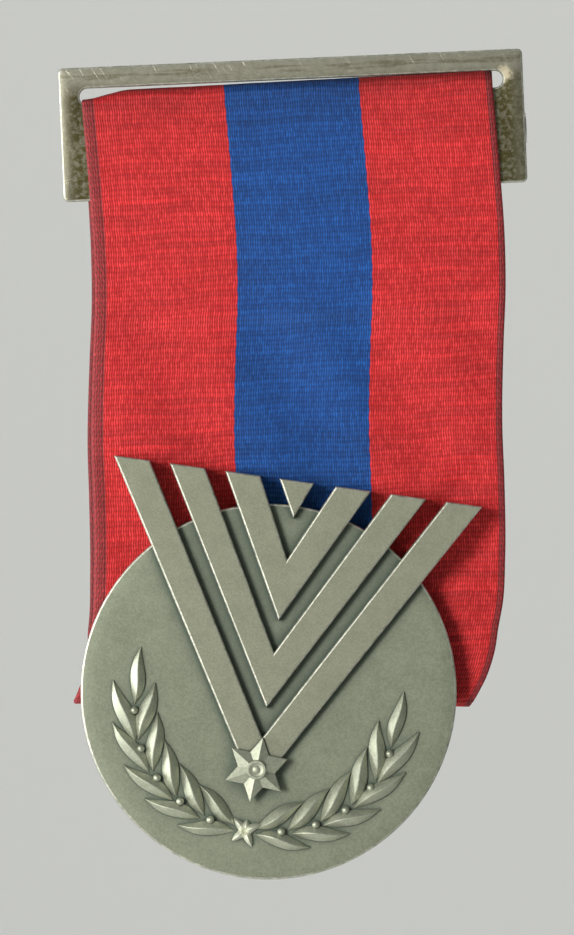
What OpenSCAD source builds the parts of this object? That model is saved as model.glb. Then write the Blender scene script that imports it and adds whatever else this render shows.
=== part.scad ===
// Service medal on a folded ribbon, hung from a slotted brooch plate.
// Millimetres. X across the ribbon, Z up, the face looks along -Y.
// The origin is the middle of the brooch pin, which lies along X.

/* [Hanger plate] */
// Width of the plate
plate_w = 43.4; // [43:0.1:44]
// Height of the plate
plate_h = 12.5; // [12.4:0.1:12.6]
// Thickness of the plate
plate_t = 1.2; // [1.2:0.05:1.3]
// Radius of the plate's corners
plate_corner_r = 0.5; // [0.3:0.1:1.2]
// Length of the slot for the ribbon
slot_w = 39.6; // [39.5:0.1:39.8]
// Height of the slot
slot_h = 1.7; // [1.6:0.05:1.8]
// Metal left above the slot
slot_bar = 1.85; // [1.75:0.05:1.95]
// Height of the pin below the plate's top edge
pin_drop = 7.3; // [7.2:0.1:7.4]

/* [Brooch pin] */
// Radius of the pin's wire
pin_r = 0.5; // [0.4:0.05:0.5]
// Length of the straight wire, centred on the origin
pin_straight = 37.6; // [36:0.1:37.8]
// Gap between the plate's back and the pin's axis
pin_gap = 3.0; // [2.9:0.05:3.1]
// Distance of the hinge and of the catch from the plate's middle
leg_x = 20.8; // [20.7:0.05:20.9]
// Radius of the hinge rivet
rivet_r = 0.4; // [0.3:0.05:0.45]

/* [Ribbon] */
// Width of the ribbon
ribbon_w = 38.4; // [38:0.1:38.5]
// Thickness of the ribbon
ribbon_t = 0.4; // [0.3:0.05:0.4]

/* [Medal] */
// Diameter of the disc
disc_d = 35; // [34:0.1:36]
// Thickness of the disc
disc_t = 2.0; // [1.6:0.1:2.4]
// Height of the chevrons above the disc
relief_t = 0.9; // [0.6:0.05:1.1]
// Turn of the medal against the plate, clockwise from the front
medal_turn = 10.45; // [8:0.05:12]
// Turn of the wreath against the chevrons
wreath_turn = 1.7; // [0:0.1:2]
// Turn of the star against the chevrons
star_turn = 3.5; // [0:0.5:6]
// Thickness of the leaves
leaf_t = 0.65; // [0.4:0.05:0.8]

/* [Hidden] */
$fn = 64;
eps = 0.01;

// Depths, from back to front
plate_back = -pin_gap;
plate_front = plate_back - plate_t;
cloth_gap = 0.05;
back_layer = plate_back + cloth_gap + ribbon_t;
front_layer = plate_front - cloth_gap;
loop_y = (plate_back + plate_front) / 2;
loop_r = plate_t / 2 + cloth_gap + ribbon_t;
disc_back = front_layer - ribbon_t - 0.25;
disc_front = disc_back - disc_t;
relief_front = disc_front - relief_t;

// Heights
plate_top = pin_drop;
plate_foot = plate_top - plate_h;
slot_top = plate_top - slot_bar;
slot_foot = slot_top - slot_h;
top_fold_z = slot_foot - 0.1;
upper_hinge_z = plate_foot - 1.4;
lower_hinge_z = -28;
hinge_room = 0.1;

// Medal's centre, and its lugs' height above it
medal_x = -4.55;
medal_z = -51.65;
lug_v = 6;
lug_u = 4.5;

// Middle of the front layer at a height: it bows to the right, then leans left
front_path = [[-53, -4.6], [-50, -3.2], [-46, -2.0], [-42, -1.4], [-28, -0.9],
              [-20, -0.4], [-15, 0], [-10, 0.12], [-4, -0.05], [4, -0.4]];
// The back layer's shift to the left of the front one
back_shift = [[-53, 0], [-48, 0.2], [-44, 0.35], [-20, 0.35], [-10, 0.3], [4, 0]];
// Ends of the bottom fold's line
fold_left = [-22.6, -51];
fold_right = [14.2, -53.5];
fold_lap = 0.6;
// Height from which the edges run straight to the fold's ends
fold_bend = -49;

// Half width at the top line and height of the tip, outside then inside
chevron_top = 19.8;
outer_v = [[17.3, -9.4], [13.95, -4.3]];
second_v = [[12.05, -1.5], [8.75, 3.7]];
third_v = [[6.85, 6.7], [3.55, 12.45]];
centre_v = [1.5, 16.4];
star_v = -7.3;

// Leaves of the left branch: tip, then foot. The right branch mirrors them
leaves = [[[-12.4, 2.1], [-12.1, -3.2]], [[-14.45, -1.35], [-11.45, -6.75]],
          [[-13.85, -5.25], [-9.7, -9.3]], [[-12.15, -9.0], [-7.0, -11.5]],
          [[-9.7, -11.75], [-4.3, -12.7]], [[-6.3, -13.65], [-1.0, -13.3]],
          [[-10.55, -0.95], [-11.2, -6.45]], [[-9.9, -3.6], [-9.35, -9.1]],
          [[-8.85, -6.0], [-6.8, -11.1]], [[-7.1, -8.0], [-3.95, -12.35]],
          [[-5.0, -9.6], [-1.0, -12.75]]];
berries = [[-12.05, -3.8], [-10.85, -7.2], [-8.9, -9.65], [-6.4, -11.45], [-3.35, -12.65]];
stem_r = 12.3;
knot_v = -13.1;

// Middle of a layer at a height: share 0 is the front layer and 1 the back one
function layer_mid(z, share) = lookup(z, front_path) - share * lookup(z, back_shift);
function front_mid(z) = layer_mid(z, 0);
function back_mid(z) = layer_mid(z, 1);

// ---- placing helpers ----

// Stands a flat outline up, so that its front is at y and its back t behind it
module upright(y, t)
    translate([0, y + t, 0])
        rotate([90, 0, 0])
            linear_extrude(t) children();

// A cylinder along X
module along_x(r, x0, x1, r2 = -1)
    translate([x0, 0, 0])
        rotate([0, 90, 0])
            cylinder(r1 = r, r2 = r2 < 0 ? r : r2, h = x1 - x0);

// The medal's own frame: u along X, v along Z, from the disc's centre
module in_medal() translate([medal_x, 0, medal_z]) rotate([0, medal_turn, 0]) children();

// The wreath's frame turns a little further than the medal's
module in_wreath() in_medal() rotate([0, wreath_turn, 0]) children();

// A rectangle round the origin with round corners
module soft_rectangle(w, h, r) {
    square([w - 2 * r, h], center = true);
    square([w, h - 2 * r], center = true);
    for (sx = [-1, 1], sy = [-1, 1])
        translate([sx * (w / 2 - r), sy * (h / 2 - r)]) circle(r);
}

// A bar round the origin with full-round ends
module round_ended(w, h) {
    square([w - h, h], center = true);
    for (side = [-1, 1]) translate([side * (w - h) / 2, 0]) circle(h / 2);
}

// ---- hanger ----

module hanger_plate() color("gainsboro")
    upright(plate_front, plate_t)
        difference() {
            translate([0, plate_top - plate_h / 2]) soft_rectangle(plate_w, plate_h, plate_corner_r);
            translate([0, slot_top - slot_h / 2]) round_ended(slot_w, slot_h);
        }

foot_t = 0.5;
foot_w = 1.7;
foot_h = 5.2;
ear_t = 0.5;
ear_gap = 0.75;
ear_r = 0.85;

module foot(x)
    translate([x - foot_w / 2, plate_back, -foot_h / 2]) cube([foot_w, foot_t, foot_h]);

module pin_hinge_bracket() color("silver") {
    foot(-leg_x);
    for (side = [-1, 1])
        translate([-leg_x, 0, side * (ear_gap + ear_t / 2)])
            difference() {
                union() {
                    cylinder(r = ear_r, h = ear_t, center = true);
                    translate([-ear_r, plate_back + foot_t, -ear_t / 2])
                        cube([2 * ear_r, pin_gap - foot_t, ear_t]);
                }
                cylinder(r = rivet_r + 0.02, h = 2, center = true);
            }
}

module pin_hinge_rivet() color("silver") {
    reach = ear_gap + ear_t + 0.02;
    translate([-leg_x, 0, 0]) {
        cylinder(r = rivet_r, h = 2 * reach, center = true);
        for (side = [0, 1])
            mirror([0, 0, side]) translate([0, 0, reach]) {
                cylinder(r = 0.72, h = 0.15);
                translate([0, 0, 0.15]) cylinder(r1 = 0.72, r2 = 0.4, h = 0.2);
            }
    }
}

module brooch_pin() color("lightgray") {
    knuckle_r = 0.92;
    collar_end = -pin_straight / 2;
    difference() {
        union() {
            translate([-leg_x, 0, 0]) cylinder(r = knuckle_r, h = 1.36, center = true);
            along_x(0.66, -leg_x, collar_end - 0.3);
            along_x(0.66, collar_end - 0.3, collar_end, pin_r);
        }
        translate([-leg_x, 0, 0]) cylinder(r = rivet_r + 0.04, h = 4, center = true);
    }
    along_x(pin_r, collar_end, pin_straight / 2);
    along_x(pin_r, pin_straight / 2, leg_x + 0.5, 0.1);
}

catch_x0 = leg_x - foot_w / 2;
catch_x1 = leg_x + foot_w / 2;
catch_bore = 1.25;
catch_mouth = 1.4;

module catch_housing() color("silver") {
    foot(leg_x);
    difference() {
        union() {
            along_x(1.8, catch_x0, catch_x1);
            translate([catch_x0, plate_back + foot_t, -1]) cube([foot_w, pin_gap - foot_t, 2]);
        }
        along_x(catch_bore, catch_x0 - 1, catch_x1 + 1);
        translate([catch_x0 - 1, 0, -catch_mouth / 2]) cube([foot_w + 2, 3, catch_mouth]);
    }
}

lock_swing = 110;

module catch_lock() color("lightgray") {
    flange_t = 0.4;
    flange_x = catch_x0 - flange_t - 0.05;
    lock_mouth = 1.2;
    difference() {
        union() {
            along_x(catch_bore - 0.05, flange_x, catch_x1 + 0.25);
            along_x(1.65, flange_x, flange_x + flange_t);
            along_x(1.42, catch_x1 + 0.05, catch_x1 + 0.25);
            rotate([-lock_swing / 2, 0, 0])
                translate([flange_x, 1.2, -0.5]) cube([flange_t, 1.7, 1]);
        }
        along_x(0.7, flange_x - 1, catch_x1 + 1);
        translate([flange_x - 1, 0, -lock_mouth / 2]) cube([foot_w + 4, 3, lock_mouth]);
    }
}

// ---- ribbon ----

// Heights between two others at which a layer's edges bend
function bends(z0, z1) = [for (p = front_path) if (p[0] > z0 + eps && p[0] < z1 - eps) p[0]];

// One edge of a layer through a list of heights, and a list turned round
function edge(zs, share, side) = [for (z = zs) [layer_mid(z, share) + side * ribbon_w / 2, z]];
function turned(list) = [for (i = [len(list) - 1:-1:0]) list[i]];

// Outline of one layer between two heights
module layer_outline(z0, z1, share) {
    zs = concat([z0], bends(z0, z1), [z1]);
    polygon(concat(edge(zs, share, 1), turned(edge(zs, share, -1))));
}

module both_layers(z0, z1) {
    upright(front_layer - ribbon_t, ribbon_t) layer_outline(z0, z1, 0);
    upright(back_layer - ribbon_t, ribbon_t) layer_outline(z0, z1, 1);
}

// A roll of cloth where the loop bends about its hinge line
module roll(z) translate([0, loop_y, z]) along_x(loop_r, back_mid(z) - ribbon_w / 2, front_mid(z) + ribbon_w / 2);

module ribbon_top_fold() color("firebrick") {
    both_layers(upper_hinge_z + loop_r + hinge_room, top_fold_z);
    translate([0, loop_y, top_fold_z])
        difference() {
            along_x(loop_r, back_mid(top_fold_z) - ribbon_w / 2, front_mid(top_fold_z) + ribbon_w / 2);
            along_x(loop_r - ribbon_t, -plate_w, plate_w);
            translate([-plate_w, -2, -2]) cube([2 * plate_w, 4, 2]);
        }
}

module ribbon_drop() color("royalblue") {
    both_layers(lower_hinge_z, upper_hinge_z);
    roll(upper_hinge_z);
    roll(lower_hinge_z);
}

lap_z = [-38.5, -31];

module ribbon_lower_loop() color("firebrick") {
    top = lower_hinge_z - loop_r - hinge_room;
    slit = [1.5, 2.2];
    difference() {
        upright(front_layer - ribbon_t, ribbon_t) loop_outline(top, 0);
        in_medal() for (side = [-1, 1])
            translate([side * lug_u - slit[0] / 2, front_layer - 1, lug_v - slit[1] / 2])
                cube([slit[0], 2, slit[1]]);
    }
    upright(back_layer - ribbon_t, ribbon_t) loop_outline(top, 1);
    upright(back_layer, ribbon_t) layer_outline(lap_z[0], lap_z[1], 1);
    bottom_fold();
}

// The cloth's turn from the front layer to the back one, along the fold's line
module bottom_fold() {
    line = fold_right - fold_left;
    long = norm(line);
    translate([fold_left[0], loop_y, fold_left[1]])
        rotate([0, -atan(line[1] / line[0]), 0]) {
            difference() {
                along_x(loop_r, 0, long);
                along_x(loop_r - ribbon_t, -1, long + 1);
                translate([-1, -2, 0]) cube([long + 2, 4, 2]);
            }
            for (y = [-loop_r, loop_r - ribbon_t])
                translate([0, y, 0]) cube([long, ribbon_t, fold_lap]);
        }
}

// One layer from a height down into the bottom fold
module loop_outline(top, share) {
    zs = concat(bends(fold_bend, top), [top]);
    lap = [0, fold_lap / 2];
    polygon(concat([fold_right + lap], edge(zs, share, 1), turned(edge(zs, share, -1)),
                   [fold_left + lap]));
}

// Two rows of thread across the lapped ends at the back
module seam_stitches() color("maroon") {
    count = 17;
    pitch = 2.05;
    length = 1.3;
    for (z = [lap_z[0] + 1.5, lap_z[1] - 1.5], i = [0:count - 1])
        translate([back_mid(z) + (i - (count - 1) / 2) * pitch, back_layer + ribbon_t + 0.1, z])
            along_x(0.1, -length / 2, length / 2);
}

// ---- medal ----

module medal_disc() color("darkkhaki") in_medal() {
    bevel = 0.3;
    translate([0, disc_back, 0]) rotate([90, 0, 0]) {
        cylinder(r1 = disc_d / 2 - bevel, r2 = disc_d / 2, h = bevel, $fn = 128);
        translate([0, 0, bevel]) cylinder(r = disc_d / 2, h = disc_t - 2 * bevel, $fn = 128);
        translate([0, 0, disc_t - bevel])
            cylinder(r1 = disc_d / 2, r2 = disc_d / 2 - bevel, h = bevel, $fn = 128);
    }
}

// Full depth outside the disc, and only the relief over it
module on_disc()
    difference() {
        in_medal() upright(relief_front, disc_back - relief_front) children();
        medal_disc();
    }

module chevron(v)
    on_disc() polygon([[v[0][0], chevron_top], [v[1][0], chevron_top], [0, v[1][1]],
                       [-v[1][0], chevron_top], [-v[0][0], chevron_top], [0, v[0][1]]]);

module chevron_outer() color("tan") chevron(outer_v);
module chevron_second() color("wheat") chevron(second_v);
module chevron_third() color("tan") chevron(third_v);
module chevron_centre() color("wheat")
    on_disc() polygon([[centre_v[0], chevron_top], [-centre_v[0], chevron_top], [0, centre_v[1]]]);

// Six points, each with a ridge that rises to the flat in the middle
module six_point_star() color("khaki") {
    outer_r = 3.05;
    inner_r = 1.76;
    wall = 0.35;
    rise = 0.4;
    flat = 0.27;
    rim = [for (i = [0:11]) (i % 2 == 0 ? outer_r : inner_r) * [sin(30 * i), cos(30 * i)]];
    rings = [[1, 0], [1, wall], [flat, wall + rise]];
    in_medal() translate([0, relief_front, star_v]) rotate([90, star_turn, 0])
        polyhedron(
            [for (g = rings, p = rim) [g[0] * p[0], g[0] * p[1], g[1]]],
            concat([[for (i = [11:-1:0]) i], [for (i = [0:11]) i + 24]],
                   [for (g = [0, 12], i = [0:11])
                       [g + i, g + (i + 1) % 12, g + (i + 1) % 12 + 12, g + i + 12]]));
}

// A small ring with a dome in it
module star_boss() color("khaki") in_medal()
    translate([0, relief_front - 0.75, star_v]) rotate([90, 0, 0]) {
        cylinder(r = 0.9, h = 0.12);
        difference() {
            cylinder(r = 0.9, h = 0.3);
            cylinder(r = 0.62, h = 1);
        }
        cylinder(r = 0.4, h = 0.24);
    }

// The stem that the leaves grow from, an arc up to the knot
module stem()
    upright(disc_front - 0.3, 0.3)
        difference() {
            circle(stem_r + 0.22);
            circle(stem_r - 0.22);
            translate([-20, -6]) square(40);
            translate([-1.4, -20]) square(40);
        }

// A pointed leaf from its foot to its tip, highest along its rib
module leaf(tip, base) {
    way = tip - base;
    long = norm(way);
    half = 0.18 * long;
    translate([base[0], 0, base[1]]) rotate([0, -atan2(way[1], way[0]), 0])
        hull() {
            upright(disc_front - 0.12, 0.12)
                polygon([[0, 0], [0.22 * long, 0.8 * half], [0.48 * long, half],
                         [0.76 * long, 0.62 * half], [long, 0], [0.76 * long, -0.62 * half],
                         [0.48 * long, -half], [0.22 * long, -0.8 * half]]);
            upright(disc_front - leaf_t, 0.1)
                polygon([[0.2 * long, 0.04], [0.8 * long, 0.04], [0.8 * long, -0.04],
                         [0.2 * long, -0.04]]);
        }
}

module branch() {
    stem();
    for (l = leaves) leaf(l[0], l[1]);
    for (b = berries)
        translate([b[0], disc_front - 0.45, b[1]]) sphere(r = 0.42, $fn = 16);
}

module wreath_branch_left() color("olivedrab") in_wreath() branch();
module wreath_branch_right() color("olivedrab") in_wreath() mirror([1, 0, 0]) branch();

// A cross of two short ribbon ends with a band over them
module wreath_knot() color("darkkhaki") in_wreath() translate([0, 0, knot_v]) {
    for (side = [-1, 1])
        upright(disc_front - 0.7, 0.7)
            rotate(side * 48) square([3.1, 0.62], center = true);
    upright(disc_front - 0.85, 0.85) soft_rectangle(0.8, 1.3, 0.25);
}

// Two eyes on the disc's back that pass through the ribbon's slits
module back_lugs() color("darkkhaki") in_medal()
    for (side = [-1, 1])
        translate([side * lug_u, 0, lug_v])
            difference() {
                union() {
                    translate([-0.5, disc_back, -0.6]) cube([1, loop_y - disc_back, 1.2]);
                    translate([0, loop_y, 0]) along_x(0.6, -0.5, 0.5);
                }
                translate([0, loop_y, 0]) along_x(0.38, -2, 2);
            }

// The rod through the eyes, inside the ribbon's loop
module lug_rod() color("silver") in_medal()
    translate([0, loop_y, lug_v]) {
        along_x(0.35, -7.2, 7.5);
        along_x(0.58, -7.5, -7.2);
    }

hanger_plate();
pin_hinge_bracket();
pin_hinge_rivet();
brooch_pin();
catch_housing();
catch_lock();
ribbon_top_fold();
ribbon_drop();
ribbon_lower_loop();
seam_stitches();
medal_disc();
chevron_outer();
chevron_second();
chevron_third();
chevron_centre();
six_point_star();
star_boss();
wreath_branch_left();
wreath_branch_right();
wreath_knot();
back_lugs();
lug_rod();
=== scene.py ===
import math
import bmesh
import bpy
import numpy as np
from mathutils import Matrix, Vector


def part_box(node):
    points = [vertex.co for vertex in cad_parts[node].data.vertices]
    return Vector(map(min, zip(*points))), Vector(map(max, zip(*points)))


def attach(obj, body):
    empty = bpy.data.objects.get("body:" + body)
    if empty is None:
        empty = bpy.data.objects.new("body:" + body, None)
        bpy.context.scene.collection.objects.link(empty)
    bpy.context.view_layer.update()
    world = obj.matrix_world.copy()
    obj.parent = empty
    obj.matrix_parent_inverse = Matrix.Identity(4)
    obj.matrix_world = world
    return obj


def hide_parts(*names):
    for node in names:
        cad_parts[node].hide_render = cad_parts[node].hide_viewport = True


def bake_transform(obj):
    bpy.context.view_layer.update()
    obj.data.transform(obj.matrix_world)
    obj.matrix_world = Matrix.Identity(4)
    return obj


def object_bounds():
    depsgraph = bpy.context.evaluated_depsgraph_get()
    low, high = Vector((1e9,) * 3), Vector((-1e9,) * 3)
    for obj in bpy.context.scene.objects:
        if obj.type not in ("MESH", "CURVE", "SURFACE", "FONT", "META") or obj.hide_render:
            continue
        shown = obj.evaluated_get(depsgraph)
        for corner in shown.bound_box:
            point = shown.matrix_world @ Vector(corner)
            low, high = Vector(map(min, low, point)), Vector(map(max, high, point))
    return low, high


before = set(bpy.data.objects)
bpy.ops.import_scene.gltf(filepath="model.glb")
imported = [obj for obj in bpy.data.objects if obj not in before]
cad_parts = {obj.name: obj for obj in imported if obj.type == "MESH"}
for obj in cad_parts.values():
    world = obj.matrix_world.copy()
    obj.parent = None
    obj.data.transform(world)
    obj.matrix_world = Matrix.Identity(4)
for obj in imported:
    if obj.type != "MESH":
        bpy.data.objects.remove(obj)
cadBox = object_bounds()
mm = 0.001
print("frame loaded")


# ---- shapes ----

def quadGrid(rows, cols, wrapRows=False, wrapCols=False):
    # the four corners of every cell, the last row or column joined to the first where it wraps
    row, col = np.meshgrid(np.arange(rows if wrapRows else rows - 1),
                           np.arange(cols if wrapCols else cols - 1), indexing="ij")
    nextRow, nextCol = (row + 1) % rows, (col + 1) % cols
    cells = [row * cols + col, row * cols + nextCol, nextRow * cols + nextCol, nextRow * cols + col]
    return np.stack(cells, -1).reshape(-1, 4)


def joinTubes(tubes):
    # closed rings stacked into tubes, with a face over each end; the tubes' points run on from each other
    points, faces, start = [], [], 0
    for rings in tubes:
        rows, cols = rings.shape[:2]
        faces += (quadGrid(rows, cols, wrapCols=True) + start).tolist()
        faces += [[start + i for i in range(cols)], [start + (rows - 1) * cols + i for i in range(cols)]]
        points.append(rings.reshape(-1, 3))
        start += rows * cols
    return np.concatenate(points), faces


def smoothThrough(knots, at):
    # a cubic through (place, value) pairs, each knot's slope taken from its neighbours
    place, value = np.array(knots, float).T
    slope = np.gradient(value, place)
    low = np.clip(np.searchsorted(place, at) - 1, 0, len(place) - 2)
    step = place[low + 1] - place[low]
    t = np.clip((at - place[low]) / step, 0, 1)
    return ((1 + 2 * t) * (1 - t) ** 2 * value[low] + t * (1 - t) ** 2 * step * slope[low]
            + t * t * (3 - 2 * t) * value[low + 1] + t * t * (t - 1) * step * slope[low + 1])


def smoothStep(low, high, at):
    # 0 below low and 1 above high, level at both
    t = np.clip((at - low) / (high - low), 0, 1)
    return t * t * (3 - 2 * t)


def linkObject(name, data):
    # a new object in the scene
    made = bpy.data.objects.new(name, data)
    bpy.context.scene.collection.objects.link(made)
    return made


def settleMesh(mesh, work, sharpAngle):
    # faces turned outwards and shaded smooth, edges sharper than the angle crisp
    bmesh.ops.recalc_face_normals(work, faces=work.faces)
    work.to_mesh(mesh)
    work.free()
    mesh.shade_smooth()
    mesh.set_sharp_from_angle(angle=math.radians(sharpAngle))


def addPiece(name, points, faces, material, sharpAngle=30, edgeLook=None, edgeFaces=None):
    # points are in millimetres, and the marked faces take the second material
    mesh = bpy.data.meshes.new(name)
    mesh.from_pydata((np.asarray(points) * mm).tolist(), [], faces)
    work = bmesh.new()
    work.from_mesh(mesh)
    settleMesh(mesh, work, sharpAngle)
    mesh.materials.append(material)
    if edgeLook:
        mesh.materials.append(edgeLook)
        mesh.polygons.foreach_set("material_index", edgeFaces.astype(np.int32))
    return linkObject(name, mesh)


def markRows(faces, cols, first, last):
    # which of the faces, laid row by row, lie from the first row up to the last
    row = np.arange(len(faces)) // cols
    return (row >= first) & (row < last)


def standFor(piece, body, slot, *nodes):
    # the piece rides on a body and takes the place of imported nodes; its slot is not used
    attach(piece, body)
    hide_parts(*nodes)
    return piece


def cleanCopy(node, material, bevel, sharpAngle=35):
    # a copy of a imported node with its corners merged, its flat faces whole and its edges broken
    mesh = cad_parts[node].data.copy()
    work = bmesh.new()
    work.from_mesh(mesh)
    bmesh.ops.remove_doubles(work, verts=work.verts, dist=2e-6)
    bmesh.ops.dissolve_limit(work, angle_limit=math.radians(1), verts=work.verts, edges=work.edges)
    settleMesh(mesh, work, sharpAngle)
    mesh.materials.clear()
    mesh.materials.append(material)
    piece = linkObject(node + "_finished", mesh)
    edge = piece.modifiers.new("brokenEdge", "BEVEL")
    edge.width = bevel * mm
    edge.segments = 2
    edge.limit_method = "ANGLE"
    edge.angle_limit = math.radians(sharpAngle)
    edge.harden_normals = True
    return piece


# ---- shader helpers ----

def put(tree, kind, inputs=(), **settings):
    # one node, its inputs filled from other nodes' outputs or from plain values
    made = tree.nodes.new(kind)
    for key, value in settings.items():
        setattr(made, key, value)
    for key, value in dict(inputs).items():
        if isinstance(value, bpy.types.NodeSocket):
            tree.links.new(value, made.inputs[key])
        else:
            made.inputs[key].default_value = value
    return made


def calc(tree, operation, *values):
    return put(tree, "ShaderNodeMath", enumerate(values), operation=operation).outputs[0]


def plus(tree, *values):
    return calc(tree, "ADD", *values)


def minus(tree, *values):
    return calc(tree, "SUBTRACT", *values)


def times(tree, *values):
    return calc(tree, "MULTIPLY", *values)


def blendColour(tree, share, first, second, kind="MIX"):
    node = put(tree, "ShaderNodeMix", {0: share, 6: first, 7: second}, data_type="RGBA", blend_type=kind)
    return node.outputs[2]


def ramp(tree, value, low, high, toLow=0.0, toHigh=1.0):
    # a smooth change from one value to another between low and high
    sockets = {0: value, 1: low, 2: high, 3: toLow, 4: toHigh}
    return put(tree, "ShaderNodeMapRange", sockets, interpolation_type="SMOOTHSTEP").outputs[0]


def ownPlace(tree):
    # the place on the piece, in metres
    return put(tree, "ShaderNodeTexCoord").outputs["Object"]


def stretch(tree, vector, by):
    return put(tree, "ShaderNodeVectorMath", {0: vector, 1: by}, operation="MULTIPLY").outputs[0]


def noise(tree, vector, scale, detail, roughness=0.5, **settings):
    inputs = {"Vector": vector, "Scale": scale, "Detail": detail, "Roughness": roughness}
    return put(tree, "ShaderNodeTexNoise", inputs, **settings).outputs[0]


def whiteNoise(tree, dimensions, **inputs):
    return put(tree, "ShaderNodeTexWhiteNoise", inputs, noise_dimensions=dimensions).outputs[0]


def openness(tree, reach):
    # 1 where nothing stands within reach, less in tight corners
    return put(tree, "ShaderNodeAmbientOcclusion", {"Distance": reach * mm}, samples=12).outputs["AO"]


def bumpSurface(tree, shader, height, strength, distance):
    inputs = {"Height": height, "Strength": strength, "Distance": distance * mm}
    tree.links.new(put(tree, "ShaderNodeBump", inputs).outputs[0], shader.inputs["Normal"])


def newMaterial(name, **constants):
    # a Principled shader with its constant sockets set
    made = bpy.data.materials.new(name)
    made.use_nodes = True
    tree = made.node_tree
    shader = tree.nodes["Principled BSDF"]
    for key, value in constants.items():
        shader.inputs[key].default_value = value
    return made, tree, shader


def newGroup(name, inputs, outputs):
    # an empty node group with named float inputs and outputs
    tree = bpy.data.node_groups.new(name, "ShaderNodeTree")
    for label, value in inputs.items():
        socket = tree.interface.new_socket(name=label, in_out="INPUT", socket_type="NodeSocketFloat")
        socket.default_value = value
    for label in outputs:
        tree.interface.new_socket(name=label, in_out="OUTPUT", socket_type="NodeSocketFloat")
    return tree, tree.nodes.new("NodeGroupInput").outputs, tree.nodes.new("NodeGroupOutput").inputs


def fillOutputs(tree, made, **values):
    for label, value in values.items():
        tree.links.new(value, made[label])
    return tree


def place(tree, group, **inputs):
    # one copy of a node group
    node = put(tree, "ShaderNodeGroup", node_tree=group)
    for key, value in inputs.items():
        node.inputs[key].default_value = value
    return node.outputs


# ---- effects that several finishes share ----

metalLook = dict(scratchStretch=(0.35, 1.0, 11.0), scratches=((0.0, 1.0), (1.9, 0.7), (2.6, 0.5)),
                 shine=(0.85, 0.84, 0.76, 1), patinaShadeColour=(0.035, 0.045, 0.035, 1), patinaShadeReach=0.55,
                 halo=(0.085, 0.115, 0.095, 1), haloReach=2.4)


def makeMetalSurface():
    # fine grain, broad mottling and thin scratches on a struck metal face, from the piece's own place
    tree, given, made = newGroup("metalSurface", {"Grain": 9.0, "Mottle": 0.5, "Scratch": 0.5, "Turn": 0.4},
                                 ["Grain", "Mottle", "Scratch", "Height"])
    scaled = {0: ownPlace(tree), 3: 1 / mm}
    inMillimetres = put(tree, "ShaderNodeVectorMath", scaled, operation="SCALE").outputs[0]
    grain = noise(tree, inMillimetres, given["Grain"], 3.0, 0.6)
    mottle = noise(tree, inMillimetres, given["Mottle"], 5.0, 0.62)
    strokes = []
    for turn, share in metalLook["scratches"]:
        turning = {"Vector": inMillimetres, "Angle": plus(tree, given["Turn"], turn)}
        turned = put(tree, "ShaderNodeVectorRotate", turning, rotation_type="Y_AXIS").outputs[0]
        line = noise(tree, stretch(tree, turned, metalLook["scratchStretch"]), 1.0, 1.5)
        strokes.append(times(tree, ramp(tree, line, 0.64, 0.72), share))
    scratch = calc(tree, "MAXIMUM", strokes[0], calc(tree, "MAXIMUM", strokes[1], strokes[2]))
    scratch = times(tree, scratch, given["Scratch"])
    height = minus(tree, times(tree, grain, 0.6), times(tree, scratch, 0.8))
    return fillOutputs(tree, made, Grain=grain, Mottle=mottle, Scratch=scratch, Height=height)


# the ribbon's own measures, read by its weave and by its shape
ribbon = dict(left=-19.65, right=18.75, thick=0.4, corner=0.12, ribPitch=0.468, ribRise=0.035, rowsPerRib=4,
              splitZ=-17.0, outerCols=92, innerCols=22, arcRows=24, lapTop=-31.0, lapFoot=-38.5, lapGap=0.05,
              thread=0.225, hem=0.55, leftHem=1.05)
weaveLook = dict(leanAlong=4.3, leanAcross=0.7, lean=0.03, dashesPerRib=0.72, dashShift=7.0, pullAcross=0.11,
                 pullPerRib=3.7, stray=0.08, braidSlope=1.6, braidRate=9.0)


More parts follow.
